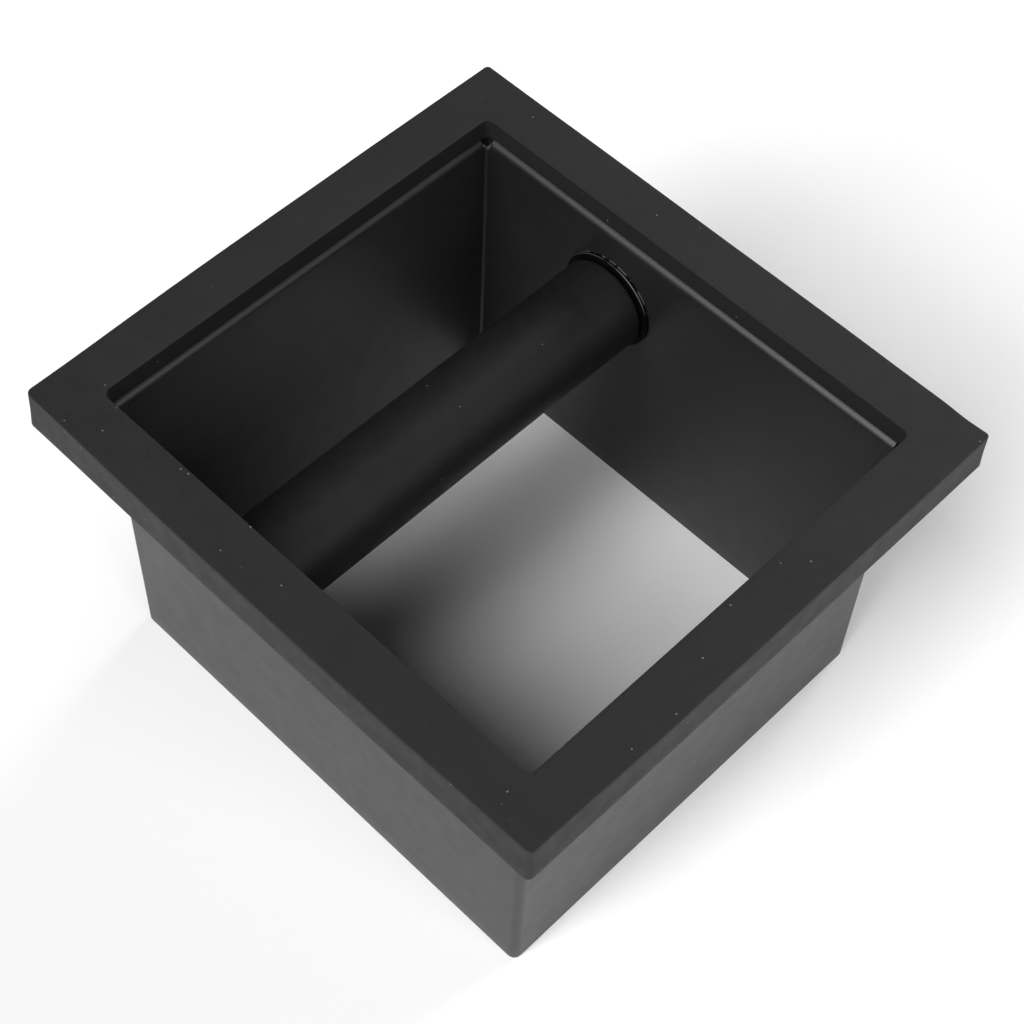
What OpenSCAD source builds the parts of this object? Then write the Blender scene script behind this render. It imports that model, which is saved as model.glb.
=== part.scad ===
// Espresso knock box: a bottomless drop-in chute with a rubber rim and a cross bar.
// The user stands on the -Y side. The bar runs along X, nearer to the user.
// The origin is at the centre of the chute's bottom edge, with +Z up.

/* [Rubber rim] */
// Width of the rim, along X
rim_w = 175; // [160:1:200]
// Length of the rim, along Y
rim_l = 189; // [175:1:220]
// Height of the rim
rim_h = 13.5; // [12:0.5:16]
// Width of the rim's top face, from its outer edge to the opening
rim_border = 15.6; // [14:0.1:18]
// Thickness of rubber above the steel flange
rim_top_t = 6.75; // [5:0.25:7.5]
// Thickness of rubber outside the flange's edge
rim_edge_t = 4; // [3:0.5:5]
// Radius of the rim's outer corners, seen from above
rim_corner_r = 2; // [1:0.5:8]
// Radius of the opening's corners, seen from above
opening_corner_r = 2.4; // [2:0.1:6]

/* [Steel chute] */
// Height from the chute's bottom edge to the top of the rim
total_h = 113; // [90:1:180]
// Thickness of the sheet
sheet_t = 1.5; // [1:0.1:2]
// Inside radius of every fold in the sheet
fold_r = 1; // [0.5:0.1:1.5]
// How far the rim's top lip covers the wall's outside face
lip_cover = 0.1; // [0.1:0.1:0.5]
// Radius of the relief hole at the top of each corner fold
relief_r = 0.9; // [0.7:0.1:1]

/* [Knock bar] */
// Place of the bar's axis along Y; negative is nearer to the user
bar_y = -26; // [-32:0.5:0]
// Depth of the bar's axis below the top of the rim
bar_drop = 34; // [32:0.5:40]
// Diameter of the rubber sleeve
sleeve_d = 29.2; // [26:0.1:30]
// Radius of the sleeve's rounded ends
sleeve_end_r = 1.5; // [0.5:0.1:2]
// Diameter of the steel core
core_d = 16; // [14:0.5:18]
// Diameter of the end washers
end_washer_d = 32; // [30.5:0.5:33]
// Thickness of the end washers
end_washer_t = 1.2; // [1:0.1:2]

/* [Hidden] */

$fn = 96;
cut = 1; // how far a cutting shape runs past the face that it cuts

// Rim and flange
opening_w = rim_w - 2 * rim_border;
opening_l = rim_l - 2 * rim_border;
rim_z = total_h - rim_h;
flange_top_z = total_h - rim_top_t;
flange_w = rim_w - 2 * rim_edge_t;
flange_l = rim_l - 2 * rim_edge_t;
slot_gap = 0.2;  // between the flange's edge and the end of the slot in the rubber
lip_gap = 0.3;   // between the rim's bottom lip and the chute wall

// Chute
chute_w = opening_w + 2 * lip_cover;
chute_l = opening_l + 2 * lip_cover;
inner_w = chute_w - 2 * sheet_t;
inner_l = chute_l - 2 * sheet_t;
fold_outer_r = fold_r + sheet_t;
fold_z = flange_top_z - fold_outer_r;
tab_end_gap = 0.5; // from the end of a flange tab to the corner fold; clears the relief hole

// Bar, with M6 fasteners
bar_z = total_h - bar_drop;
core_len = inner_w - 2 * end_washer_t;
core_chamfer = 0.6;
core_running_gap = 0.05; // radial, between the core and the sleeve
sleeve_end_gap = 0.4;    // between each end of the sleeve and its washer
sleeve_len = core_len - 2 * sleeve_end_gap;
screw_d = 6;
screw_len = 20;
thread_gap = 0.05; // radial, between the plain screw shank and the plain tapped hole
tapped_depth = 18;
clearance_d = 6.6;
screw_head_d = 10.5;
screw_head_h = 3.3;
screw_head_flat_d = 5.4;
screw_head_rim_h = 0.7;
socket_across_flats = 4;
socket_depth = 2.1;
flat_washer_d = 12;
flat_washer_bore_d = 6.4;
flat_washer_t = 1.6;
lock_washer_d = 11;
lock_washer_bore_d = 6.2;
lock_washer_t = 1.6;
lock_washer_split = 0.8;
head_seat_x = chute_w / 2 + flat_washer_t + lock_washer_t;

// The screw head's dome is part of a ball through its rim's top edge and its flat's edge
dome_centre_h = (
    pow(screw_head_flat_d / 2, 2) + pow(screw_head_h, 2)
    - pow(screw_head_d / 2, 2) - pow(screw_head_rim_h, 2)
) / (2 * (screw_head_h - screw_head_rim_h));
dome_r = sqrt(pow(screw_head_d / 2, 2) + pow(screw_head_rim_h - dome_centre_h, 2));

// Rectangle with round corners, centred on the origin
module round_rect(w, l, r) {
    square([w - 2 * r, l], center = true);
    square([w, l - 2 * r], center = true);
    for (x = [-1, 1], y = [-1, 1])
        translate([x * (w / 2 - r), y * (l / 2 - r)])
            circle(r);
}

// Upright prism on a round-cornered rectangle, from z0 to z1
module round_prism(w, l, r, z0, z1) {
    translate([0, 0, z0])
        linear_extrude(z1 - z0)
            round_rect(w, l, r);
}

// Section of a flange tab: the fold and the flat, from the wall's inner face outwards
module tab_section(reach) {
    difference() {
        intersection() {
            translate([fold_outer_r, 0])
                circle(fold_outer_r);
            square(fold_outer_r);
        }
        translate([fold_outer_r, 0])
            circle(fold_r);
    }
    translate([fold_outer_r, fold_r])
        square([reach - fold_outer_r, sheet_t]);
}

// One flange tab along the wall whose inner face is at +X
module flange_tab(inner_face_x, reach, length) {
    translate([inner_face_x, length / 2, fold_z])
        rotate([90, 0, 0])
            linear_extrude(length)
                tab_section(reach);
}

// Puts a shape that is built along +Z on the bar's axis, pointing to +X
module on_bar_axis(x) {
    translate([x, bar_y, bar_z])
        rotate([0, 90, 0])
            children();
}

// Repeats a right-hand shape at the left
module at_left() {
    mirror([1, 0, 0])
        children();
}

module chute_body() {
    color("#3a3b3c")
        difference() {
            union() {
                difference() {
                    round_prism(chute_w, chute_l, fold_outer_r, 0, fold_z);
                    round_prism(inner_w, inner_l, fold_r, -cut, fold_z + cut);
                }
                for (turn = [0, 180])
                    rotate([0, 0, turn]) {
                        flange_tab(
                            inner_w / 2,
                            (flange_w - inner_w) / 2,
                            chute_l - 2 * (fold_outer_r + tab_end_gap)
                        );
                        rotate([0, 0, 90])
                            flange_tab(
                                inner_l / 2,
                                (flange_l - inner_l) / 2,
                                chute_w - 2 * (fold_outer_r + tab_end_gap)
                            );
                    }
            }
            corner_reliefs();
            on_bar_axis(-chute_w / 2 - cut)
                cylinder(h = chute_w + 2 * cut, d = clearance_d);
        }
}

// Round holes that part the flange tabs at the top of each corner fold
module corner_reliefs() {
    for (x = [-1, 1], y = [-1, 1])
        translate([
            x * (inner_w / 2 - fold_r),
            y * (inner_l / 2 - fold_r),
            fold_z
        ])
            rotate([0, 90, atan2(y, x)])
                cylinder(h = 2 * fold_outer_r, r = relief_r);
}

module rim_frame() {
    slot_w = flange_w + 2 * slot_gap;
    slot_l = flange_l + 2 * slot_gap;
    lip_w = chute_w + 2 * lip_gap;
    lip_l = chute_l + 2 * lip_gap;
    lip_r = fold_outer_r + lip_gap;
    // The lip is cut back under the flange, where the sheet's fold would meet it
    rebate_h = fold_r + lip_gap;
    flange_z = flange_top_z - sheet_t;
    color("#1f1f20")
        difference() {
            round_prism(rim_w, rim_l, rim_corner_r, rim_z, total_h);
            round_prism(
                opening_w, opening_l, opening_corner_r, flange_top_z - cut, total_h + cut
            );
            round_prism(slot_w, slot_l, 1, flange_z, flange_top_z);
            round_prism(
                lip_w + 2 * fold_r, lip_l + 2 * fold_r, lip_r + fold_r,
                flange_z - rebate_h, flange_top_z
            );
            round_prism(lip_w, lip_l, lip_r, rim_z - cut, flange_top_z);
        }
}

module bar_core() {
    color("#9a9a98")
        on_bar_axis(-core_len / 2)
            difference() {
                rotate_extrude()
                    polygon([
                        [0, 0],
                        [core_d / 2 - core_chamfer, 0],
                        [core_d / 2, core_chamfer],
                        [core_d / 2, core_len - core_chamfer],
                        [core_d / 2 - core_chamfer, core_len],
                        [0, core_len]
                    ]);
                for (z = [-cut, core_len - tapped_depth])
                    translate([0, 0, z])
                        cylinder(h = tapped_depth + cut, d = screw_d);
            }
}

module bar_sleeve() {
    bore_r = core_d / 2 + core_running_gap;
    color("#242425")
        on_bar_axis(-sleeve_len / 2)
            rotate_extrude() {
                translate([bore_r, 0])
                    square([sleeve_d / 2 - sleeve_end_r - bore_r, sleeve_len]);
                translate([bore_r, sleeve_end_r])
                    square([sleeve_d / 2 - bore_r, sleeve_len - 2 * sleeve_end_r]);
                for (z = [sleeve_end_r, sleeve_len - sleeve_end_r])
                    translate([sleeve_d / 2 - sleeve_end_r, z])
                        circle(sleeve_end_r);
            }
}

// Flat ring, from z = 0 up
module ring(outer_d, bore_d, t) {
    difference() {
        cylinder(h = t, d = outer_d);
        translate([0, 0, -cut])
            cylinder(h = t + 2 * cut, d = bore_d);
    }
}

module end_washer() {
    color("#2c2c2d")
        on_bar_axis(inner_w / 2 - end_washer_t)
            ring(end_washer_d, clearance_d, end_washer_t);
}

module flat_washer() {
    color("#4a4a4a")
        on_bar_axis(chute_w / 2)
            ring(flat_washer_d, flat_washer_bore_d, flat_washer_t);
}

module lock_washer() {
    color("#4a4a4a")
        on_bar_axis(chute_w / 2 + flat_washer_t)
            difference() {
                ring(lock_washer_d, lock_washer_bore_d, lock_washer_t);
                translate([-lock_washer_d / 2 - cut, -lock_washer_split / 2, -cut])
                    cube([lock_washer_d / 2 + cut, lock_washer_split, lock_washer_t + 2 * cut]);
            }
}

// Button-head screw with its head at +X and its shank running back into the core
module bar_screw() {
    color("#2f2f30")
        on_bar_axis(head_seat_x)
            difference() {
                union() {
                    rotate_extrude()
                        intersection() {
                            translate([0, dome_centre_h])
                                circle(dome_r);
                            square([screw_head_d / 2, screw_head_h]);
                        }
                    translate([0, 0, -screw_len])
                        cylinder(h = screw_len + cut, d = screw_d - 2 * thread_gap);
                }
                translate([0, 0, screw_head_h - socket_depth])
                    cylinder(
                        h = socket_depth + cut, d = socket_across_flats / cos(30), $fn = 6
                    );
            }
}

module end_washer_right() {
    end_washer();
}

module end_washer_left() {
    at_left() end_washer();
}

module flat_washer_right() {
    flat_washer();
}

module flat_washer_left() {
    at_left() flat_washer();
}

module lock_washer_right() {
    lock_washer();
}

module lock_washer_left() {
    at_left() lock_washer();
}

module bar_screw_right() {
    bar_screw();
}

module bar_screw_left() {
    at_left() bar_screw();
}

chute_body();
rim_frame();
bar_core();
bar_sleeve();
end_washer_left();
end_washer_right();
flat_washer_left();
flat_washer_right();
lock_washer_left();
lock_washer_right();
bar_screw_left();
bar_screw_right();
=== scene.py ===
import math

import bmesh
import bpy
from mathutils import Matrix, Vector, noise


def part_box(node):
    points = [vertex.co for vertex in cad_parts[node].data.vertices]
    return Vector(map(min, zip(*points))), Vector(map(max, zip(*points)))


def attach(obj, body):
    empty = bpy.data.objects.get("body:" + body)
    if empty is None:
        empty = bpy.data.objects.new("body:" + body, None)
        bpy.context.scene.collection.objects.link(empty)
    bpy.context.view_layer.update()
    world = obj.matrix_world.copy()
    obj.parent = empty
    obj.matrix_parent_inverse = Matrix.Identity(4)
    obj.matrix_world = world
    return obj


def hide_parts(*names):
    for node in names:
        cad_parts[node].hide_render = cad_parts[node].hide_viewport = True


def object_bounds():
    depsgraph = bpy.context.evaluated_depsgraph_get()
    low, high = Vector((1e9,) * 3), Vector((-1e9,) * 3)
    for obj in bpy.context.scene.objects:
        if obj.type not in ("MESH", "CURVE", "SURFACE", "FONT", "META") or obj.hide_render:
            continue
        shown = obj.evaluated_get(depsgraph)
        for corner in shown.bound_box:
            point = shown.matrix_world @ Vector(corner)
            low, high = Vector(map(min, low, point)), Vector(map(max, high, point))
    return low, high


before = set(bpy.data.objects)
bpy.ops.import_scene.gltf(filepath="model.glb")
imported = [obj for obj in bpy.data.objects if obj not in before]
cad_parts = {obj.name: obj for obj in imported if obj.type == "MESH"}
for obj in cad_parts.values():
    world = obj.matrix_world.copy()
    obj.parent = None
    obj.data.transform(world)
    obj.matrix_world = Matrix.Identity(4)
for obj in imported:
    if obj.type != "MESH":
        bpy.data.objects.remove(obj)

cad_lo, cad_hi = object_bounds()
scene = bpy.context.scene
MM = 0.001

# ---------------------------------------------------------------- sizes from the frame

rim_lo, rim_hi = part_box("rim_frame")
_, chute_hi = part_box("chute_body")
sleeve_lo, sleeve_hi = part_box("bar_sleeve")
core_lo, core_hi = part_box("bar_core")
end_lo, end_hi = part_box("end_washer_right")
flat_lo, flat_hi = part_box("flat_washer_right")
lock_lo, lock_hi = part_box("lock_washer_right")
screw_lo, screw_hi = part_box("bar_screw_right")

SHEET_T = 1.5 * MM
FOLD_IN_R = 1.0 * MM
FOLD_OUT_R = FOLD_IN_R + SHEET_T
RELIEF_R = 0.9 * MM          # hole that parts two flange tabs at a corner
TAB_END_GAP = 0.5 * MM       # from a corner fold to the end of a flange tab
LIP_GAP = 0.3 * MM           # between the rim's bottom lip and the wall
SLOT_GAP = 0.2 * MM          # between the flange's edge and the end of its slot
OPENING_INSET = 0.1 * MM     # from the wall's outer face in to the side of the rim's opening

RIM_HX, RIM_HY = rim_hi.x, rim_hi.y
RIM_TOP, RIM_BOTTOM = rim_hi.z, rim_lo.z
FLANGE_HX, FLANGE_HY = chute_hi.x, chute_hi.y
FLANGE_TOP = chute_hi.z
FLANGE_LOW = FLANGE_TOP - SHEET_T
FOLD_Z = FLANGE_TOP - FOLD_OUT_R
OUTER_HX = flat_lo.x                              # the flat washer lies on the wall's outer face
OUTER_HY = OUTER_HX + (RIM_HY - RIM_HX)           # the border is as wide on every side
INNER_HX, INNER_HY = OUTER_HX - SHEET_T, OUTER_HY - SHEET_T
OPENING_HX, OPENING_HY = OUTER_HX - OPENING_INSET, OUTER_HY - OPENING_INSET
OPENING_R = 2.4 * MM

BAR_Y = (sleeve_lo.y + sleeve_hi.y) / 2
BAR_Z = (sleeve_lo.z + sleeve_hi.z) / 2
CLEARANCE_R = 3.3 * MM       # holes that the M6 screws pass through

SMOOTH_DEG = 38              # edges sharper than this stay sharp on rubber and sheet
SMOOTH_DEG_METAL = 30        # and on turned metal, whose edges are finer
SMOOTH_DEG_SCREW = 28        # and on the screws
BAR_SEGMENTS = 160           # round the sleeve and the discs
ROD_SEGMENTS = 96            # round the core and the washers
SCREW_SEGMENTS = 72

# Directions of the corners, anticlockwise from +X +Y, with the angle where each arc starts
CORNERS = (((1, 1), 0), ((-1, 1), 90), ((-1, -1), 180), ((1, -1), 270))

# ---------------------------------------------------------------- mesh helpers


def finish_mesh(name, bm, sharp_deg=SMOOTH_DEG):
    """Makes an object from a bmesh, smooth apart from edges sharper than sharp_deg."""
    bmesh.ops.recalc_face_normals(bm, faces=bm.faces)
    mesh = bpy.data.meshes.new(name)
    bm.to_mesh(mesh)
    bm.free()
    mesh.shade_smooth()
    mesh.set_sharp_from_angle(angle=math.radians(sharp_deg))
    obj = bpy.data.objects.new(name, mesh)
    scene.collection.objects.link(obj)
    return obj


def skin(bm, loops, close_rows=False, close_loop=True):
    """Joins equal loops of vertices, one after another. A repeated vertex makes a triangle."""
    rows = len(loops)
    count = len(loops[0])
    for i in range(rows if close_rows else rows - 1):
        a = loops[i]
        b = loops[(i + 1) % rows]
        for j in range(count if close_loop else count - 1):
            k = (j + 1) % count
            corners = list(dict.fromkeys((a[j], a[k], b[k], b[j])))
            if len(corners) > 2:
                bm.faces.new(corners)


def arc(r, start_deg, end_deg, n):
    """Points of an arc about the origin, ends included."""
    angles = [math.radians(start_deg + (end_deg - start_deg) * i / n) for i in range(n + 1)]
    return [(r * math.cos(a), r * math.sin(a)) for a in angles]


def rounded_rect(hx, hy, radii, n_corner, n_side):
    """Points (x, y) of a round-cornered rectangle, anticlockwise, with a radius per corner."""
    centres = [(sx * (hx - r), sy * (hy - r)) for ((sx, sy), _), r in zip(CORNERS, radii)]
    arcs = []
    for (cx, cy), (_, start), r in zip(centres, CORNERS, radii):
        arcs.append([(cx + x, cy + y) for x, y in arc(r, start, start + 90, n_corner)])
    points = []
    for i, turn in enumerate(arcs):
        points += turn
        (ax, ay), (bx, by) = turn[-1], arcs[(i + 1) % 4][0]
        points += [(ax + (bx - ax) * k / n_side, ay + (by - ay) * k / n_side)
                   for k in range(1, n_side)]
    return points


def turn_on_bar(bm, profile, segments, closed=False):
    """Turns a profile about the bar's axis.

    Each point is (x, r): r is a number, or a function of the angle. A radius of 0 is a pole.
    """
    loops = []
    for x, r in profile:
        if r == 0:
            loops.append([bm.verts.new((x, BAR_Y, BAR_Z))] * segments)
            continue
        loop = []
        for j in range(segments):
            a = 2 * math.pi * j / segments
            radius = r(a) if callable(r) else r
            loop.append(bm.verts.new((x, BAR_Y + radius * math.cos(a), BAR_Z + radius * math.sin(a))))
        loops.append(loop)
    skin(bm, loops, close_rows=closed)


def turned(name, profile, segments, closed=False, sharp_deg=SMOOTH_DEG):
    """An object turned from a profile. A closed profile makes a ring; an open one ends in poles."""
    bm = bmesh.new()
    turn_on_bar(bm, profile, segments, closed)
    return finish_mesh(name, bm, sharp_deg)


def opposite(obj, name):
    """A copy of a right-hand piece at the left, half a turn about the upright through the bar."""
    mesh = obj.data.copy()
    mesh.name = name
    upright = Vector((0, BAR_Y, 0))
    turn = Matrix.Translation(upright) @ Matrix.Rotation(math.pi, 4, "Z") @ Matrix.Translation(-upright)
    mesh.transform(turn)
    twin = bpy.data.objects.new(name, mesh)
    scene.collection.objects.link(twin)
    return twin


# ---------------------------------------------------------------- rubber rim

RIM_RADII = (2.0 * MM, 1.3 * MM, 1.4 * MM, 2.4 * MM)     # outer corners, in the order of CORNERS
WAVE_DEPTH = 0.30 * MM       # how far the moulded outer edge wanders inwards
WAVES_PER_M = 38             # and how fast
PINCH_DEPTH = 0.35 * MM      # extra sink mark beside the -X +Y corner
PINCH_AWAY = 8 * MM
PINCH_WIDTH = 5 * MM
CORNER_PULL = (0.80 * MM, 0.15 * MM, 0.0, 0.95 * MM)     # how far each corner is drawn in
PULL_REACH = 42 * MM         # distance along the sides over which that fades
LOW_SHARE = 0.35             # share of all this that is left at the rim's underside


def edge_wander(x, y):
    """How far the outer side lies inside its nominal line at a point of the outline."""
    n = 0.5 + 0.5 * noise.noise(Vector((x, y, 0)) * WAVES_PER_M)
    wander = WAVE_DEPTH * min(max(n, 0), 1)
    if x < 0:
        away = (y - (RIM_HY - PINCH_AWAY)) / PINCH_WIDTH
        wander += PINCH_DEPTH * math.exp(-away * away)
    for ((sx, sy), _), pull in zip(CORNERS, CORNER_PULL):
        away = math.hypot(x - sx * RIM_HX, y - sy * RIM_HY) / PULL_REACH
        wander += pull * math.exp(-away * away)
    return wander


def rim_section():
    """Loops of the rim's section: (hx, hy, corner radii, z, share of the edge's wander)."""
    top_r = 0.35 * MM        # top outer edge
    inner_r = 0.2 * MM       # edge of the opening
    low_r = 0.4 * MM         # bottom outer edge, and the chamfer on the bottom inner one
    arc_n = 5                # steps round a rounded edge
    slot_r = 1 * MM          # corners of the flange's slot
    sink = 0.10 * MM         # the outer side is very slightly hollow
    rebate = FOLD_IN_R       # cut from the lip where the sheet folds
    rebate_z = FLANGE_LOW - FOLD_IN_R - LIP_GAP
    lip_hx, lip_hy, lip_r = OUTER_HX + LIP_GAP, OUTER_HY + LIP_GAP, FOLD_OUT_R + LIP_GAP
    section = []

    def outer(inset, z, wander=1.0):
        section.append((RIM_HX - inset, RIM_HY - inset, [r - inset for r in RIM_RADII], z, wander))

    def inner(hx, hy, r, z):
        section.append((hx, hy, [r] * 4, z, 0.0))

    def opening(outset, z):
        inner(OPENING_HX + outset, OPENING_HY + outset, OPENING_R + outset, z)

    # Outer side, upwards
    side_rows = 8
    z0, z1 = RIM_BOTTOM + low_r, RIM_TOP - top_r
    for i in range(side_rows + 1):
        t = i / side_rows
        share = LOW_SHARE + (1 - LOW_SHARE) * t
        outer(sink * math.sin(math.pi * t) ** 2, z0 + (z1 - z0) * t, share)
    # Top outer edge
    for x, z in arc(top_r, 0, 90, arc_n)[1:]:
        outer(top_r - x, z1 + z)
    # Top face, across to the opening
    rows = 8
    for i in range(1, rows):
        t = i / rows
        hx = (RIM_HX - top_r) * (1 - t) + (OPENING_HX + inner_r) * t
        hy = (RIM_HY - top_r) * (1 - t) + (OPENING_HY + inner_r) * t
        radii = [(r - top_r) * (1 - t) + (OPENING_R + inner_r) * t for r in RIM_RADII]
        section.append((hx, hy, radii, RIM_TOP, 1 - t))
    # Edge and side of the opening, downwards to the steel
    for x, z in arc(inner_r, 90, 0, arc_n):
        opening(inner_r - x, RIM_TOP - inner_r + z)
    side_h = RIM_TOP - inner_r - FLANGE_TOP
    opening_rows = 3
    for i in range(1, opening_rows + 1):
        opening(0, RIM_TOP - inner_r - side_h * i / opening_rows)
    # Slot for the flange
    inner(FLANGE_HX + SLOT_GAP, FLANGE_HY + SLOT_GAP, slot_r, FLANGE_TOP)
    inner(FLANGE_HX + SLOT_GAP, FLANGE_HY + SLOT_GAP, slot_r, FLANGE_LOW)
    # Bottom lip, cut back where the sheet folds
    inner(lip_hx + rebate, lip_hy + rebate, lip_r + rebate, FLANGE_LOW)
    inner(lip_hx + rebate, lip_hy + rebate, lip_r + rebate, rebate_z)
    inner(lip_hx, lip_hy, lip_r, rebate_z)
    inner(lip_hx, lip_hy, lip_r, RIM_BOTTOM + low_r)
    inner(lip_hx + low_r, lip_hy + low_r, lip_r + low_r, RIM_BOTTOM)
    # Underside and bottom outer edge
    for x, z in arc(low_r, -90, 0, arc_n)[:-1]:
        outer(low_r - x, RIM_BOTTOM + low_r + z, LOW_SHARE)
    return section


def build_rim():
    """Rubber channel that wraps the flange: one closed section carried round the frame."""
    n_corner = 14
    n_side = 60
    at_edge = 12             # power by which a push across a side fades away from that side
    bm = bmesh.new()
    loops = []
    for hx, hy, radii, z, wander in rim_section():
        loop = []
        for x, y in rounded_rect(hx, hy, radii, n_corner, n_side):
            inset = wander * edge_wander(x, y)
            dx = math.copysign(inset, x) * (abs(x) / RIM_HX) ** at_edge
            dy = math.copysign(inset, y) * (abs(y) / RIM_HY) ** at_edge
            loop.append(bm.verts.new((x - dx, y - dy, z)))
        loops.append(loop)
    skin(bm, loops, close_rows=True)
    return finish_mesh("rim_rubber", bm)


# ---------------------------------------------------------------- steel chute


def chute_columns():
    """Columns round the wall: (outer xy, inner xy, outward normal, is part of a flange tab)."""
    columns = []
    n_corner = 24
    n_tab = 32
    n_end = 3
    for (sx, sy), start in CORNERS:
        cx, cy = sx * (INNER_HX - FOLD_IN_R), sy * (INNER_HY - FOLD_IN_R)
        for nx, ny in arc(1, start, start + 90, n_corner):
            columns.append(((cx + FOLD_OUT_R * nx, cy + FOLD_OUT_R * ny),
                            (cx + FOLD_IN_R * nx, cy + FOLD_IN_R * ny), (nx, ny), False))
        # The straight side that follows: a short plain end, the tab, a short plain end
        a = math.radians(start + 90)
        nx, ny = round(math.cos(a)), round(math.sin(a))
        reach = INNER_HX if ny == 0 else INNER_HY
        half = (INNER_HY if ny == 0 else INNER_HX) - FOLD_IN_R
        ends = [half - TAB_END_GAP * i / (n_end + 1) for i in range(1, n_end + 1)]
        tab_half = half - TAB_END_GAP
        places = [(-s, False) for s in ends]
        places += [(-tab_half + 2 * tab_half * i / n_tab, True) for i in range(n_tab + 1)]
        places += [(s, False) for s in reversed(ends)]
        for s, is_tab in places:
            inner = (nx * reach - ny * s, ny * reach + nx * s)
            outer = (inner[0] + nx * SHEET_T, inner[1] + ny * SHEET_T)
            columns.append((outer, inner, (nx, ny), is_tab))
    return columns


def relief_drop(x, y):
    """How far the relief hole at a corner cuts below the fold line at a point of the wall."""
    dx = abs(x) - (INNER_HX - FOLD_IN_R)
    dy = abs(y) - (INNER_HY - FOLD_IN_R)
    aside = abs(dx - dy) / math.sqrt(2)
    if min(dx, dy) < -RELIEF_R or aside >= RELIEF_R:
        return 0.0
    return math.sqrt(RELIEF_R ** 2 - aside ** 2)


def build_chute():
    """Folded sheet: walls, bends and four flange tabs, parted by relief holes at the corners."""
    columns = chute_columns()
    count = len(columns)
    edge_r = 0.35 * MM       # the cut bottom edge is slightly rounded under its coating
    edge_n = 4
    wall_rows = 16
    fold_steps = 12
    flange_steps = 3
    dip_fade = 8             # power by which the dip under a relief hole fades down the wall
    bm = bmesh.new()

    def wall_loop(z, side, shift=0.0):
        """One level of the wall's outer (0) or inner (1) face. It dips under a relief hole."""
        loop = []
        for column in columns:
            x, y = column[side]
            nx, ny = column[2]
            share = max(z - edge_r, 0) / (FOLD_Z - edge_r)
            dip = relief_drop(x, y) * share ** dip_fade
            loop.append(bm.verts.new((x + nx * shift, y + ny * shift, z - dip)))
        return loop

    levels = [edge_r + (FOLD_Z - edge_r) * i / wall_rows for i in range(wall_rows + 1)]
    outside = [wall_loop(z, 0) for z in reversed(levels)]
    outer_turn = arc(edge_r, 0, 90, edge_n)[1:]
    inner_turn = arc(edge_r, 90, 180, edge_n)[:-1]
    bottom = [wall_loop(edge_r - dz, 0, dx - edge_r) for dx, dz in outer_turn]
    bottom += [wall_loop(edge_r - dz, 1, edge_r + dx) for dx, dz in inner_turn]
    inside = [wall_loop(z, 1) for z in levels]
    skin(bm, outside + bottom + inside)
    top_out, top_in = outside[0], inside[-1]

    def fold_path(r):
        """One face of the sheet round its fold: distances from the wall's inner face, and levels."""
        return [(FOLD_OUT_R - x, FOLD_Z + z) for x, z in arc(r, 0, 90, fold_steps)[1:]]

    def tab_points(j):
        """The tab's lower and upper faces at column j, from the wall outwards."""
        _, (ix, iy), (nx, ny), _ = columns[j]
        half = INNER_HX if ny == 0 else INNER_HY
        reach = (FLANGE_HX if ny == 0 else FLANGE_HY) - half
        lower_path = fold_path(FOLD_IN_R)
        upper_path = fold_path(FOLD_OUT_R)
        for i in range(1, flange_steps + 1):
            u = FOLD_OUT_R + (reach - FOLD_OUT_R) * i / flange_steps
            lower_path.append((u, FLANGE_LOW))
            upper_path.append((u, FLANGE_TOP))
        lower = [bm.verts.new((ix + nx * u, iy + ny * u, z)) for u, z in lower_path]
        upper = [bm.verts.new((ix + nx * u, iy + ny * u, z)) for u, z in upper_path]
        return [top_out[j]] + lower, [top_in[j]] + upper

    tabs = {j: tab_points(j) for j in range(count) if columns[j][3]}
    for j in range(count):
        k = (j + 1) % count
        if j in tabs and k in tabs:
            (low_a, up_a), (low_b, up_b) = tabs[j], tabs[k]
            skin(bm, [low_a, low_b], close_loop=False)
            skin(bm, [up_a, up_b], close_loop=False)
            bm.faces.new((low_a[-1], low_b[-1], up_b[-1], up_a[-1]))
        else:
            bm.faces.new((top_out[j], top_out[k], top_in[k], top_in[j]))
    for j, (low, up) in tabs.items():
        if (j - 1) % count not in tabs or (j + 1) % count not in tabs:
            skin(bm, [low, up], close_loop=False)
    chute = finish_mesh("chute_sheet", bm)
    drill_screw_holes(chute)
    return chute


def drill_screw_holes(chute):
    """Clearance holes for the bar's screws through both side walls."""
    reach = OUTER_HX + 1 * MM
    profile = [(-reach, 0), (-reach, CLEARANCE_R), (reach, CLEARANCE_R), (reach, 0)]
    drill_segments = 64
    drill = turned("drill", profile, drill_segments)
    mod = chute.modifiers.new("holes", "BOOLEAN")
    mod.operation = "DIFFERENCE"
    mod.solver = "EXACT"
    mod.object = drill
    graph = bpy.context.evaluated_depsgraph_get()
    graph.update()
    baked = bpy.data.meshes.new_from_object(chute.evaluated_get(graph))
    chute.modifiers.clear()
    chute.data = baked
    chute.data.set_sharp_from_angle(angle=math.radians(SMOOTH_DEG))
    bpy.data.objects.remove(drill)


# ---------------------------------------------------------------- knock bar


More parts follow.
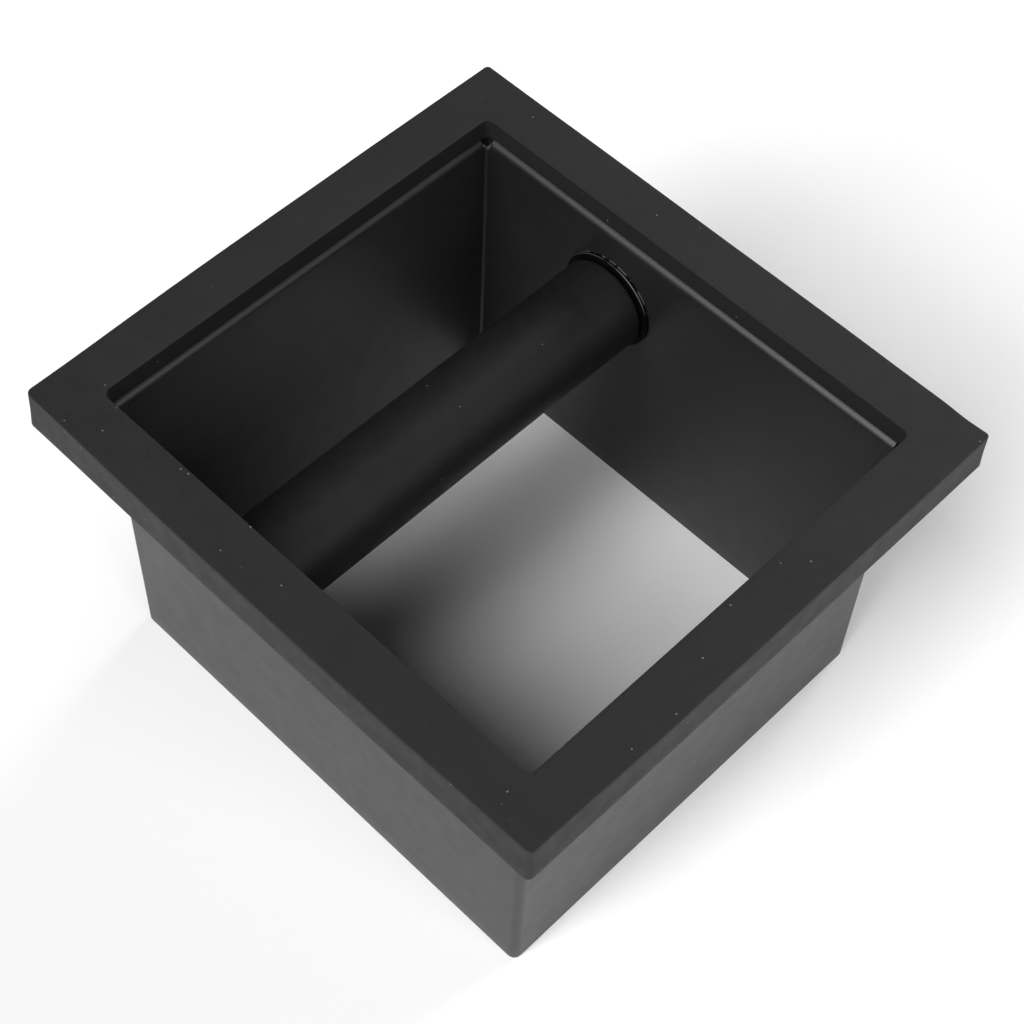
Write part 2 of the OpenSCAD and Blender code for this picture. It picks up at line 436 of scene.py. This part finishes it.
def build_sleeve():
    """Rubber tube with rounded ends, its bore a running fit on the core."""
    outer_r = (sleeve_hi.z - sleeve_lo.z) / 2
    running_gap = 0.05 * MM
    bore_r = (core_hi.z - core_lo.z) / 2 + running_gap
    end_r = 1.5 * MM
    end_n = 10
    bore_edge = 0.4 * MM
    half = sleeve_hi.x
    rows = 44
    end_turn = reversed(arc(end_r, 0, 90, end_n))
    right = [(half - end_r + c, outer_r - end_r + s) for c, s in end_turn]
    right += [(half, bore_r + bore_edge), (half - bore_edge, bore_r)]
    straight = half - end_r
    middle = [(-straight + 2 * straight * i / rows, outer_r) for i in range(1, rows)]
    left = [(-x, r) for x, r in reversed(right)]
    return turned("sleeve_rubber", left + middle + right, BAR_SEGMENTS, closed=True)


def build_core():
    """Turned rod with chamfered ends, tapped for a screw at both."""
    r = (core_hi.z - core_lo.z) / 2
    half = core_hi.x
    chamfer = 0.6 * MM
    hole_r = 3.0 * MM        # the tapped hole, as a plain cylinder
    sink = 0.3 * MM
    depth = 18 * MM
    right = [(half - chamfer, r), (half, r - chamfer), (half, hole_r + sink), (half - sink, hole_r),
             (half - depth, hole_r), (half - depth, 0)]
    left = [(-x, radius) for x, radius in reversed(right)]
    return turned("bar_rod", left + right, ROD_SEGMENTS, sharp_deg=SMOOTH_DEG_METAL)


def washer_profile(lo, hi, bore_r, edge):
    """Section of a flat ring with lightly rounded edges."""
    outer_r = (hi.z - lo.z) / 2
    edge_n = 4
    profile = [(lo.x + edge, bore_r), (lo.x, bore_r + edge)]
    profile += [(lo.x + edge + c, outer_r - edge + s) for c, s in arc(edge, 180, 90, edge_n)]
    profile += [(hi.x - edge + c, outer_r - edge + s) for c, s in arc(edge, 90, 0, edge_n)]
    profile += [(hi.x, bore_r + edge), (hi.x - edge, bore_r)]
    return profile


def build_end_disc():
    """Stamped disc between the sleeve and the wall."""
    edge = 0.12 * MM
    profile = washer_profile(end_lo, end_hi, CLEARANCE_R, edge)
    return turned("end_disc_right", profile, BAR_SEGMENTS, True, SMOOTH_DEG_METAL)


def build_plain_washer():
    """Washer against the wall's outer face."""
    bore_r = 3.2 * MM
    edge = 0.2 * MM
    profile = washer_profile(flat_lo, flat_hi, bore_r, edge)
    return turned("plain_washer_right", profile, ROD_SEGMENTS, True, SMOOTH_DEG_METAL)


def build_lock_washer():
    """Split ring, flat as it lies when tightened, with its gap upwards."""
    gap = 0.4 * MM           # half the width of the split
    bore_r = 3.1 * MM
    edge = 0.2 * MM
    steps = ROD_SEGMENTS
    profile = washer_profile(lock_lo, lock_hi, bore_r, edge)
    bm = bmesh.new()
    loops = []
    for j in range(steps + 1):
        loop = []
        for x, r in profile:
            start = math.pi / 2 + math.asin(gap / r)
            end = math.pi * 5 / 2 - math.asin(gap / r)
            a = start + (end - start) * j / steps
            loop.append(bm.verts.new((x, BAR_Y + r * math.cos(a), BAR_Z + r * math.sin(a))))
        loops.append(loop)
    skin(bm, loops)
    bm.faces.new(loops[0])
    bm.faces.new(loops[-1])
    return finish_mesh("spring_washer_right", bm, SMOOTH_DEG_METAL)


ROOT_R = 2.42 * MM           # M6 thread's root, and the shank where it has no thread


def thread_radius(x, tip_x, end_x):
    """Radius of an M6 thread at x, as a function of the angle. It fades out at both ends."""
    pitch = 1.0 * MM
    crest, root = 2.95 * MM, ROOT_R
    root_flat = 0.25         # share of the pitch that is flat at the root
    flank = 0.625            # share that slopes; the rest is the crest's flat
    fade_length = 0.6 * pitch
    fade = min(max(min(x - tip_x, end_x - x) / fade_length, 0), 1)

    def radius(a):
        phase = (x / pitch - a / (2 * math.pi)) % 1.0
        height = (1 - abs(2 * phase - 1) - root_flat) / flank
        return root + (crest - root) * fade * min(max(height, 0), 1)

    return radius


def build_screw():
    """Button-head socket screw: threaded shank, domed head and a hexagonal socket."""
    head_r = (screw_hi.z - screw_lo.z) / 2
    seat, top = lock_hi.x, screw_hi.x
    head_h = top - seat
    rim_h = 0.7 * MM         # upright side of the head, under its dome
    flat_r = 2.7 * MM        # flat round the socket
    edge = 0.15 * MM
    tip, tip_r, tip_h = screw_lo.x, 2.0 * MM, 0.4 * MM
    thread_start, thread_end = tip + 0.5 * MM, seat - 0.6 * MM
    fillet = 0.2 * MM        # under the head
    apothem, flare = 2.0 * MM, 0.2 * MM
    socket_depth, socket_cone = 2.1 * MM, 0.4 * MM
    dome_n = 12

    def hexagon(size):
        def radius(a):
            return size / math.cos((a % (math.pi / 3)) - math.pi / 6)
        return radius

    profile = [(tip, 0), (tip, tip_r), (tip + tip_h, ROOT_R)]
    rings_per_mm = 10
    rings = round((thread_end - thread_start) / MM * rings_per_mm)
    for i in range(rings + 1):
        x = thread_start + (thread_end - thread_start) * i / rings
        profile.append((x, thread_radius(x, thread_start, thread_end)))
    profile += [(seat - fillet, ROOT_R), (seat, ROOT_R + fillet)]
    profile += [(seat, head_r - edge), (seat + edge, head_r), (seat + rim_h - edge, head_r)]
    # The dome is part of a ball through the head's side and the edge of its flat
    centre = (flat_r ** 2 + head_h ** 2 - head_r ** 2 - rim_h ** 2) / (2 * (head_h - rim_h))
    ball_r = math.hypot(head_r, rim_h - centre)
    low = math.degrees(math.atan2(head_r, rim_h - centre))
    high = math.degrees(math.atan2(flat_r, head_h - centre))
    profile += [(seat + centre + c, s) for c, s in arc(ball_r, low, high, dome_n)]
    profile += [(top, hexagon(apothem + flare)), (top - flare, hexagon(apothem))]
    floor_x = top - socket_depth
    profile += [(floor_x, hexagon(apothem)), (floor_x - socket_cone, 0)]
    return turned("cap_screw_right", profile, SCREW_SEGMENTS, sharp_deg=SMOOTH_DEG_SCREW)


# ---------------------------------------------------------------- materials

SOFT_FROM = 0.6              # share of a mask's reach at which it begins to fade


class Paint:
    """A Principled material with the node shortcuts that the finishes below share."""

    def __init__(self, name):
        self.mat = bpy.data.materials.new(name)
        self.mat.use_nodes = True
        self.tree = self.mat.node_tree
        self.shader = self.tree.nodes["Principled BSDF"]
        self.coords = self.tree.nodes.new("ShaderNodeTexCoord").outputs["Object"]

    def set(self, socket, value):
        """Gives a shader socket a value that is the same all over."""
        self.shader.inputs[socket].default_value = value

    def link(self, socket, source):
        """Gives a shader socket a value that varies over the surface."""
        self.tree.links.new(source, self.shader.inputs[socket])

    def stretched(self, stretch):
        """The piece's coordinates, each axis scaled: less than 1 draws a pattern out along it."""
        if stretch is None:
            return self.coords
        mapping = self.tree.nodes.new("ShaderNodeMapping")
        mapping.inputs["Scale"].default_value = stretch
        self.tree.links.new(self.coords, mapping.inputs["Vector"])
        return mapping.outputs["Vector"]

    def noise(self, scale, detail=3.0, rough=0.5, stretch=None):
        """Noise of about 1 / scale metres; stretch scales each axis first."""
        node = self.tree.nodes.new("ShaderNodeTexNoise")
        node.inputs["Scale"].default_value = scale
        node.inputs["Detail"].default_value = detail
        node.inputs["Roughness"].default_value = rough
        self.tree.links.new(self.stretched(stretch), node.inputs["Vector"])
        return node.outputs["Fac"]

    def ramp(self, source, low, high, out_low=0.0, out_high=1.0):
        """Maps low to high onto out_low to out_high, and clamps beyond them."""
        node = self.tree.nodes.new("ShaderNodeMapRange")
        for name, value in (("From Min", low), ("From Max", high),
                            ("To Min", out_low), ("To Max", out_high)):
            node.inputs[name].default_value = value
        self.tree.links.new(source, node.inputs["Value"])
        return node.outputs["Result"]

    def maths(self, operation, a, b):
        """A Math node; each operand is a number or another node's output."""
        node = self.tree.nodes.new("ShaderNodeMath")
        node.operation = operation
        for socket, value in zip(node.inputs, (a, b)):
            if isinstance(value, (int, float)):
                socket.default_value = value
            else:
                self.tree.links.new(value, socket)
        return node.outputs["Value"]

    def product(self, first, *others):
        """Product of masks, so it is 1 only where all of them are."""
        result = first
        for other in others:
            result = self.maths("MULTIPLY", result, other)
        return result

    def mix(self, fac, a, b):
        """Blends two colours; each is a tuple or another node's output."""
        node = self.tree.nodes.new("ShaderNodeMix")
        node.data_type = "RGBA"
        for name, value in (("A", a), ("B", b)):
            if isinstance(value, tuple):
                node.inputs[name].default_value = (*value, 1)
            else:
                self.tree.links.new(value, node.inputs[name])
        self.tree.links.new(fac, node.inputs["Factor"])
        return node.outputs["Result"]

    def specks(self, cell, share, radius, stretch=None):
        """Mask of sparse specks. The cells fill space, so a surface cuts only few of them."""
        node = self.tree.nodes.new("ShaderNodeTexVoronoi")
        node.inputs["Scale"].default_value = 1 / cell
        self.tree.links.new(self.stretched(stretch), node.inputs["Vector"])
        parts = self.tree.nodes.new("ShaderNodeSeparateColor")
        self.tree.links.new(node.outputs["Color"], parts.inputs["Color"])
        near = self.ramp(node.outputs["Distance"], radius / cell * SOFT_FROM, radius / cell, 1.0, 0.0)
        chosen = self.maths("GREATER_THAN", parts.outputs["Red"], 1 - share)
        return self.product(near, chosen)

    def bump(self, layers):
        """Adds bumps from (height, strength, distance) layers."""
        normal = None
        for height, strength, distance in layers:
            node = self.tree.nodes.new("ShaderNodeBump")
            node.inputs["Strength"].default_value = strength
            node.inputs["Distance"].default_value = distance
            self.tree.links.new(height, node.inputs["Height"])
            if normal is not None:
                self.tree.links.new(normal, node.inputs["Normal"])
            normal = node.outputs["Normal"]
        self.link("Normal", normal)

    def along(self, axis):
        """The coordinate on one axis."""
        parts = self.tree.nodes.new("ShaderNodeSeparateXYZ")
        self.tree.links.new(self.coords, parts.inputs["Vector"])
        return parts.outputs[axis]

    def within(self, axis, reach):
        """Mask that is 1 where |coordinate| is less than reach."""
        return self.maths("LESS_THAN", self.maths("ABSOLUTE", self.along(axis), 0), reach)

    def off_bar(self):
        """Distance from the bar's axis."""
        y = self.maths("SUBTRACT", self.along("Y"), BAR_Y)
        z = self.maths("SUBTRACT", self.along("Z"), BAR_Z)
        squares = self.maths("ADD", self.product(y, y), self.product(z, z))
        return self.maths("SQRT", squares, 0)

    def near_plane(self, axis, place, width):
        """Mask that is 1 where |coordinate| is within width of a place."""
        size = self.maths("ABSOLUTE", self.along(axis), 0)
        away = self.maths("ABSOLUTE", self.maths("SUBTRACT", size, place), 0)
        return self.ramp(away, width * SOFT_FROM, width, 1.0, 0.0)

    def drift(self, scale, detail, dark, light):
        """Colour that wanders between two tones."""
        return self.mix(self.ramp(self.noise(scale, detail), 0.35, 0.65), dark, light)

    def grained(self, colour, scale, pale):
        """A colour with up to 30 percent of a paler one in it, as fine grain."""
        grain = self.ramp(self.noise(scale, 2), 0.3, 0.7, 0.0, 0.30)
        return self.mix(grain, colour, pale)

    def uneven(self, scale, detail, low, high):
        """A value, such as roughness, that wanders between two."""
        return self.ramp(self.noise(scale, detail), 0.3, 0.7, low, high)


COAT_SPECULAR = 0.55
RIM_SPECULAR = 0.32
SLEEVE_SPECULAR = 0.24
DISC_SPECULAR = 0.05


def powder_coat():
    """Fine matt powder coat: orange peel, tone drift, dust, and painted glints at the relief holes,
    pale specks where their cut edges would catch the light.
    """
    dark, light = (0.0060, 0.0061, 0.0063), (0.0078, 0.0079, 0.0082)
    # The dust tone is real dust; the paler second tone is the colour of the painted glints.
    dust, glint_colour = (0.14, 0.14, 0.137), (0.34, 0.34, 0.33)
    glint_reach = 1.1 * MM
    glint_height = 1.2 * MM
    p = Paint("powder_coat")
    colour = p.drift(26, 2, dark, light)
    colour = p.mix(p.specks(8 * MM, 0.6, 0.22 * MM), colour, dust)
    # Painted glints: pale specks at the inner corners by the relief holes, standing in for light caught
    # by the holes' cut edges.
    painted_glints = p.product(p.near_plane("X", INNER_HX, glint_reach),
                      p.near_plane("Y", INNER_HY, glint_reach),
                      p.near_plane("Z", FOLD_Z, glint_height),
                      p.ramp(p.noise(1500, 2), 0.50, 0.56))
    p.link("Base Color", p.mix(painted_glints, colour, glint_colour))
    p.link("Roughness", p.uneven(140, 4, 0.42, 0.47))
    p.set("Specular IOR Level", COAT_SPECULAR)
    peel = p.noise(760, 2.5)
    grit = p.noise(3600, 2)
    p.bump([(peel, 0.10, 0.015 * MM), (grit, 0.08, 0.03 * MM)])
    return p.mat


def rim_rubber():
    """Moulded matt rubber: grain, scuffs, short scratches, dust, and a dark cut face inside."""
    dark, light, grain = (0.0072, 0.0072, 0.0073), (0.0092, 0.0092, 0.0093), (0.0180, 0.0180, 0.0182)
    scuffed, scratched, dust = (0.022, 0.022, 0.0225), (0.05, 0.05, 0.049), (0.16, 0.16, 0.157)
    cut, cut_roughness = (0.0042, 0.0042, 0.0043), 0.92
    beyond = 0.1 * MM        # the cut face's mask reaches this far past the opening's side
    below = 0.05 * MM        # and stops this far under the top face
    p = Paint("rim_rubber")
    colour = p.drift(34, 3, dark, light)
    scuffs = p.ramp(p.noise(120, 5, 0.6, (1.0, 0.16, 1.0)), 0.67, 0.74, 0.0, 0.35)
    colour = p.mix(scuffs, colour, scuffed)
    colour = p.grained(colour, 1100, grain)
    cut_face = p.product(p.within("X", OPENING_HX + beyond),
                         p.within("Y", OPENING_HY + beyond),
                         p.maths("LESS_THAN", p.along("Z"), RIM_TOP - below))
    colour = p.mix(cut_face, colour, cut)
    scratches = p.specks(6 * MM, 0.5, 0.20 * MM, (1.0, 0.22, 1.0))
    colour = p.mix(scratches, colour, scratched)
    p.link("Base Color", p.mix(p.specks(5 * MM, 0.7, 0.28 * MM), colour, dust))
    moulded = p.uneven(170, 4, 0.60, 0.72)
    p.link("Roughness", p.maths("MAXIMUM", moulded, p.product(cut_face, cut_roughness)))
    p.set("Specular IOR Level", RIM_SPECULAR)
    p.bump([(p.noise(420, 3), 0.10, 0.03 * MM), (p.noise(3800, 2), 0.12, 0.03 * MM)])
    return p.mat


def sleeve_rubber():
    """Smoother ground rubber, with fine rings from grinding and a little dust."""
    dark, light, grain = (0.0056, 0.0056, 0.0057), (0.0072, 0.0072, 0.0073), (0.0130, 0.0130, 0.0132)
    dust = (0.15, 0.15, 0.147)
    p = Paint("sleeve_rubber")
    colour = p.grained(p.drift(48, 3, dark, light), 1000, grain)
    p.link("Base Color", p.mix(p.specks(6.5 * MM, 0.6, 0.26 * MM), colour, dust))
    p.link("Roughness", p.uneven(210, 4, 0.48, 0.58))
    p.set("Specular IOR Level", SLEEVE_SPECULAR)
    rings = p.noise(90, 2, 0.5, (26.0, 1.0, 1.0))
    p.bump([(rings, 0.05, 0.04 * MM), (p.noise(2600, 2), 0.08, 0.03 * MM)])
    return p.mat


def black_steel():
    """Black-coated stamped disc: coating broken at the wall, and a painted highlight on the top and +Y
    side of its front edge, where that edge would catch the light.
    """
    dark, light = (0.0014, 0.0014, 0.0015), (0.0022, 0.0022, 0.0023)
    # The second colour is that of the painted highlight on the front edge.
    broken_colour, edge_highlight_colour = (0.14, 0.14, 0.137), (0.13, 0.13, 0.128)
    disc_r = (end_hi.z - end_lo.z) / 2
    wall_reach = 0.45 * MM
    highlight_reach = 0.28 * MM
    p = Paint("black_steel")
    broken = p.product(p.near_plane("X", INNER_HX, wall_reach),
                       p.ramp(p.noise(420, 3), 0.48, 0.56),
                       p.ramp(p.along("Z"), BAR_Z + 3 * MM, BAR_Z + 10 * MM, 0.03, 0.9))
    at_rim = p.ramp(p.off_bar(), disc_r - 0.24 * MM, disc_r - 0.10 * MM)
    # Painted highlight: a pale band round the front edge's rim, strongest on top and towards +Y,
    # standing in for the edge catching the light.
    painted_edge_highlight = p.product(at_rim,
                       p.near_plane("X", end_lo.x, highlight_reach),
                       p.ramp(p.noise(260, 2), 0.34, 0.46),
                       p.ramp(p.along("Z"), BAR_Z + 5 * MM, BAR_Z + 12 * MM),
                       p.ramp(p.along("Y"), BAR_Y + 1 * MM, BAR_Y + 7 * MM, 0.3, 1.0))
    colour = p.mix(broken, p.drift(90, 3, dark, light), broken_colour)
    p.link("Base Color", p.mix(painted_edge_highlight, colour, edge_highlight_colour))
    p.link("Roughness", p.uneven(320, 3, 0.46, 0.56))
    p.set("Specular IOR Level", DISC_SPECULAR)
    p.bump([(p.noise(900, 3), 0.08, 0.05 * MM)])
    return p.mat


def bare_steel(name, colour, rough_low, rough_high, stretch):
    """Bright steel with tool marks along the direction that stretch leaves long."""
    dark_share = 0.8
    darker = tuple(c * dark_share for c in colour)
    p = Paint(name)
    marks = p.noise(160, 4, 0.6, stretch)
    p.link("Base Color", p.mix(p.ramp(marks, 0.35, 0.65), darker, colour))
    p.set("Metallic", 1.0)
    p.link("Roughness", p.ramp(marks, 0.3, 0.7, rough_high, rough_low))
    p.bump([(marks, 0.12, 0.03 * MM)])
    return p.mat


# ---------------------------------------------------------------- assemble


def place(obj, body, material, slot, *nodes):
    """Gives a piece its finish and its body, and hides the CAD nodes that it stands for. The slot is
    not used.
    """
    obj.data.materials.clear()
    obj.data.materials.append(material)
    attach(obj, body)
    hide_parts(*nodes)


def place_pair(right, left_name, material, slot, node):
    """Places a right-hand piece and its twin. Both CAD nodes are named node + side."""
    left = opposite(right, left_name)
    place(right, "box", material, slot, node + "_right")
    place(left, "box", material, slot, node + "_left")


def build_object():
    """Builds every piece and says which body and CAD nodes it belongs to."""
    plated = bare_steel("plated_steel", (0.56, 0.56, 0.55), 0.22, 0.36, (1.0, 1.0, 1.0))
    turned_rod = bare_steel("bare_steel", (0.50, 0.50, 0.49), 0.26, 0.42, (40.0, 1.0, 1.0))
    place(build_rim(), "box", rim_rubber(), "rim_rubber", "rim_frame")
    place(build_chute(), "box", powder_coat(), "powder_coat", "chute_body")
    place(build_sleeve(), "sleeve", sleeve_rubber(), "sleeve_rubber", "bar_sleeve")
    place(build_core(), "box", turned_rod, "bare_steel", "bar_core")
    place_pair(build_end_disc(), "end_disc_left", black_steel(), "black_steel", "end_washer")
    place_pair(build_plain_washer(), "plain_washer_left", plated, "plated_steel", "flat_washer")
    place_pair(build_lock_washer(), "spring_washer_left", plated, "plated_steel", "lock_washer")
    place_pair(build_screw(), "cap_screw_left", plated, "plated_steel", "bar_screw")


# ---------------------------------------------------------------- floor, light and camera

ROOM = 0.04                  # brightness of the room overhead
HORIZON = 0.80               # and at the horizon, which is the backdrop of the lowest views
FADE_FROM = 0.05             # heights of a direction's unit vector between which one
FADE_TO = 0.35               # turns into the other
LIGHT_ANGLE = 32             # degrees across each light, about a 1 m soft box at 1.8 m
SOFT_LIGHTS = (              # name, azimuth and elevation in degrees, strength
    ("right_low", 90, 30, 2.30),
    ("right_high", 90, 55, 1.90),
    ("back", 180, 30, 1.10),
    ("left", 270, 30, 1.70),
)
PALE = 0.85                  # the floor's colour
FLOOR_HALF = 20              # metres from its middle to its side
FLOOR_GAP = 0.1 * MM         # below the chute's bottom edge

VIEW_AZIMUTH = 132.0         # degrees, as direction() takes them
VIEW_ELEVATION = 56.03
VIEW_ROLL = 3.196            # degrees
VIEW_DISTANCE = 0.6324       # metres
VIEW_OFFSET = Vector((-7.04, -2.43, 0)) * MM     # of the point aimed at, from the box's middle
LENS = 77.43                 # mm, on a sensor 36 mm wide


def build_floor():
    """Plain pale floor. Inside the chute it lies in the chute's own shade."""
    bm = bmesh.new()
    bmesh.ops.create_grid(bm, x_segments=2, y_segments=2, size=FLOOR_HALF)
    floor = finish_mesh("floor", bm)
    floor.location.z = -FLOOR_GAP
    p = Paint("floor")
    p.set("Base Color", (PALE, PALE, PALE, 1))
    p.set("Roughness", 0.9)
    p.set("Specular IOR Level", 0.1)
    floor.data.materials.append(p.mat)


def direction(azimuth, elevation):
    """Unit vector for degrees from the front, turning towards the right, and degrees up."""
    a, e = math.radians(azimuth), math.radians(elevation)
    return Vector((math.sin(a) * math.cos(e), -math.cos(a) * math.cos(e), math.sin(e)))


def build_light():
    """Large soft lights round the object, and a dim room that is paler at the horizon."""
    for name, azimuth, elevation, strength in SOFT_LIGHTS:
        data = bpy.data.lights.new(name, "SUN")
        data.angle = math.radians(LIGHT_ANGLE)
        data.energy = strength
        light = bpy.data.objects.new(name, data)
        back = direction(azimuth, elevation)
        light.location = back
        light.rotation_mode = "QUATERNION"
        light.rotation_quaternion = (-back).to_track_quat("-Z", "Y")
        scene.collection.objects.link(light)
    world = bpy.data.worlds.new("studio")
    scene.world = world
    world.use_nodes = True
    tree = world.node_tree
    parts = tree.nodes.new("ShaderNodeSeparateXYZ")
    tree.links.new(tree.nodes.new("ShaderNodeTexCoord").outputs["Generated"], parts.inputs["Vector"])
    fade = tree.nodes.new("ShaderNodeMapRange")
    fade.interpolation_type = "SMOOTHSTEP"
    for name, value in (("From Min", FADE_FROM), ("From Max", FADE_TO),
                        ("To Min", HORIZON), ("To Max", ROOM)):
        fade.inputs[name].default_value = value
    tree.links.new(parts.outputs["Z"], fade.inputs["Value"])
    tree.nodes["Background"].inputs["Color"].default_value = (1, 1, 1, 1)
    tree.links.new(fade.outputs["Result"], tree.nodes["Background"].inputs["Strength"])


def build_camera():
    """Camera that looks down over a corner at the box's middle, slightly rolled."""
    aim = (cad_lo + cad_hi) / 2 + VIEW_OFFSET
    back = direction(VIEW_AZIMUTH, VIEW_ELEVATION)
    data = bpy.data.cameras.new("camera")
    data.sensor_width = 36.0
    data.lens = LENS
    data.clip_start = 0.01
    data.clip_end = 100
    camera = bpy.data.objects.new("camera", data)
    camera.location = aim + back * VIEW_DISTANCE
    camera.rotation_mode = "QUATERNION"
    look = (-back).to_track_quat("-Z", "Y")
    roll = Matrix.Rotation(math.radians(VIEW_ROLL), 3, "Z").to_quaternion()
    camera.rotation_quaternion = look @ roll
    scene.collection.objects.link(camera)
    scene.camera = camera


build_camera()
build_object()
build_floor()
build_light()
scene.view_settings.view_transform = "Standard"
